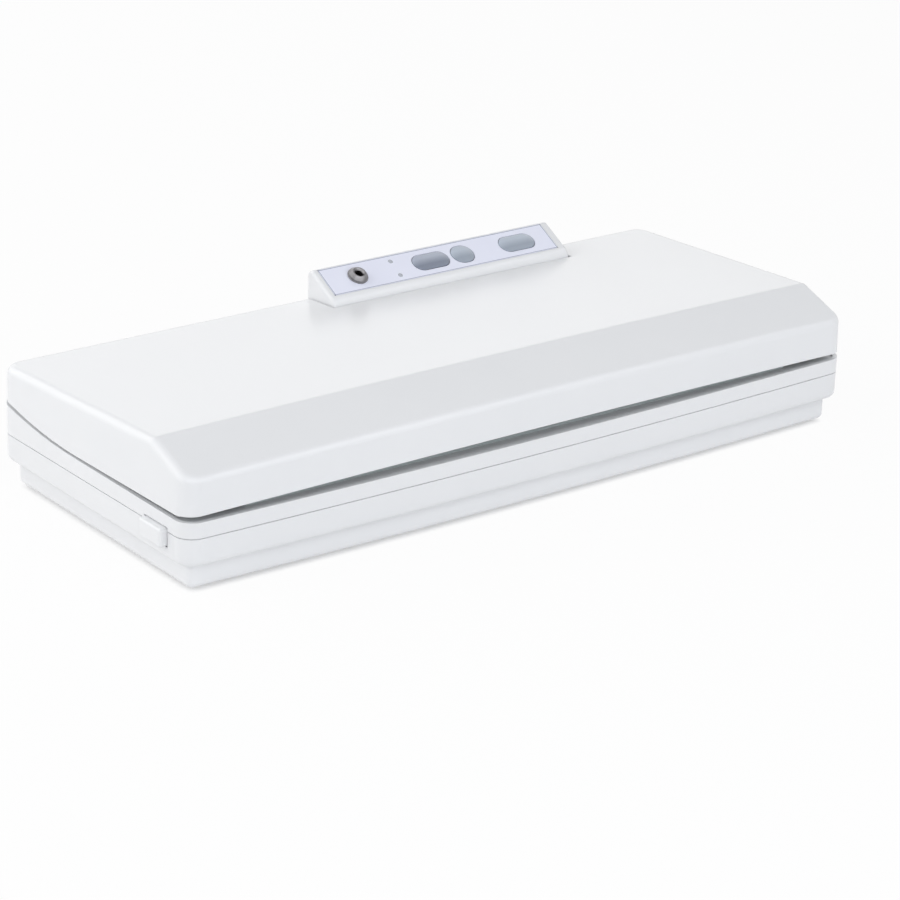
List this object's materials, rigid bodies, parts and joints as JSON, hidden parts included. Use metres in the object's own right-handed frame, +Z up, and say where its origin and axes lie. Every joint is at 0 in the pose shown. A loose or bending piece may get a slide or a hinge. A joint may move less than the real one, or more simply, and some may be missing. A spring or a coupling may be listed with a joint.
{
  "type": "vacuum sealer",
  "caption": "Long low countertop vacuum sealer for kitchen bags: bevelled hinged lid over a bag slot, side release buttons and a sloping rear console with keys and a hose port.",
  "frame": {"origin": "on the table under the middle of the object's bounding box", "axes": "+X along the casing to the right as seen by the user, -Y towards the user (the bag slot's side), +Z up"},
  "size_m": [0.438, 0.18, 0.083],
  "materials": {
    "casing_white": "satin gloss",
    "inner_grey": "matte",
    "panel_pale": "gloss",
    "key_grey": "gloss",
    "lens_amber": "clear gloss",
    "port_metal": "polished",
    "steel": "plain",
    "rubber_black": "matte",
    "gasket_grey": "foam",
    "silicone": "satin",
    "tape_brown": "slick",
    "bed_dark": "matte",
    "board_green": "lacquered",
    "lamp_clear": "gloss",
    "core_iron": "varnished",
    "copper": "enamelled",
    "feeler_white": "satin",
    "lead_red": "satin"
  },
  "bodies": {
    "base": {"base_pan": "casing_white", "upper_deck": "casing_white", "console_housing": "casing_white", "channel_tray": "inner_grey", "sealing_platform": "inner_grey", "console_faceplate": "panel_pale", "indicator_lenses": "lens_amber", "accessory_port": "port_metal", "port_nut": "steel", "hinge_pins": "steel", "base_screws": "steel", "console_screws": "steel", "release_spring_left": "steel", "release_spring_right": "steel", "valve_spring": "steel", "pump_motor": "steel", "heating_strip": "steel", "feet": "rubber_black", "cord_gland": "rubber_black", "pump_mounts": "rubber_black", "pump_saddle": "rubber_black", "pump_diaphragm": "rubber_black", "lower_gasket": "gasket_grey", "pump_hose": "silicone", "port_hose": "silicone", "heater_tape": "tape_brown", "heater_bed": "bed_dark", "pump_housing": "bed_dark", "pump_head": "bed_dark", "vacuum_nozzle": "bed_dark", "vent_valve": "bed_dark", "vacuum_switch": "bed_dark", "lid_switch": "bed_dark", "tact_switches": "bed_dark", "board_parts": "bed_dark", "panel_board": "board_green", "main_board": "board_green", "panel_lamps": "lamp_clear", "transformer_core": "core_iron", "transformer_coil": "copper", "heater_leads": "lead_red"},
    "lid": {"lid_shell": "casing_white", "lid_inner_plate": "inner_grey", "upper_gasket": "gasket_grey", "pressure_bar": "silicone", "lid_screws": "steel", "latch_hook_left": "inner_grey", "latch_hook_right": "inner_grey"},
    "release_left": {"release_button_left": "casing_white"},
    "release_right": {"release_button_right": "casing_white"},
    "vacuum_seal_key": {"vacuum_seal_button": "key_grey"},
    "canister_key": {"canister_button": "key_grey"},
    "seal_key": {"seal_button": "key_grey"},
    "pump_crank": {"motor_shaft": "steel", "motor_rotor": "steel", "pump_eccentric": "steel"},
    "pump_rod": {"pump_rod": "bed_dark", "pump_bearing": "steel"},
    "vent_plunger": {"valve_plunger": "steel"},
    "lid_feeler": {"lid_switch_feeler": "feeler_white"}
  },
  "joints": [
    {"name": "lid_hinge", "type": "hinge", "parent": "base", "child": "lid", "pos_m": [0, 0.084, 0.0625], "axis": [-1, 0, 0], "range_deg": [0, 70]},
    {"name": "release_left_slide", "type": "slide", "parent": "base", "child": "release_left", "axis": [1, 0, 0], "range_m": [0, 0.003], "stiffness_N_per_m": 400, "deforming": ["release_spring_left"]},
    {"name": "release_right_slide", "type": "slide", "parent": "base", "child": "release_right", "axis": [-1, 0, 0], "range_m": [0, 0.003], "stiffness_N_per_m": 400, "deforming": ["release_spring_right"]},
    {"name": "vacuum_seal_press", "type": "slide", "parent": "base", "child": "vacuum_seal_key", "axis": [0, 0.4802, -0.8771], "range_m": [0, 0.0008], "stiffness_N_per_m": 300},
    {"name": "canister_press", "type": "slide", "parent": "base", "child": "canister_key", "axis": [0, 0.4802, -0.8771], "range_m": [0, 0.0008], "stiffness_N_per_m": 300},
    {"name": "seal_press", "type": "slide", "parent": "base", "child": "seal_key", "axis": [0, 0.4802, -0.8771], "range_m": [0, 0.0008], "stiffness_N_per_m": 300},
    {"name": "pump_crank_spin", "type": "hinge", "parent": "base", "child": "pump_crank", "pos_m": [0.084, 0.04, 0.021], "axis": [1, 0, 0], "continuous": true},
    {"name": "pump_rod_link", "type": "hinge", "parent": "pump_crank", "child": "pump_rod", "pos_m": [0.084, 0.0385, 0.021], "axis": [1, 0, 0], "continuous": true, "deforming": ["pump_diaphragm"]},
    {"name": "vent_plunger_slide", "type": "slide", "parent": "base", "child": "vent_plunger", "axis": [-1, 0, 0], "range_m": [0, 0.002], "stiffness_N_per_m": 200, "deforming": ["valve_spring"]},
    {"name": "lid_feeler_slide", "type": "slide", "parent": "base", "child": "lid_feeler", "axis": [0, 0, 1], "range_m": [0, 0.002]}
  ],
  "couplings": [
    {"joint": "pump_rod_link", "follows": "pump_crank_spin", "ratio": -1},
    {"joint": "lid_feeler_slide", "follows": "lid_hinge", "m_per_rad": 0.0016}
  ]
}
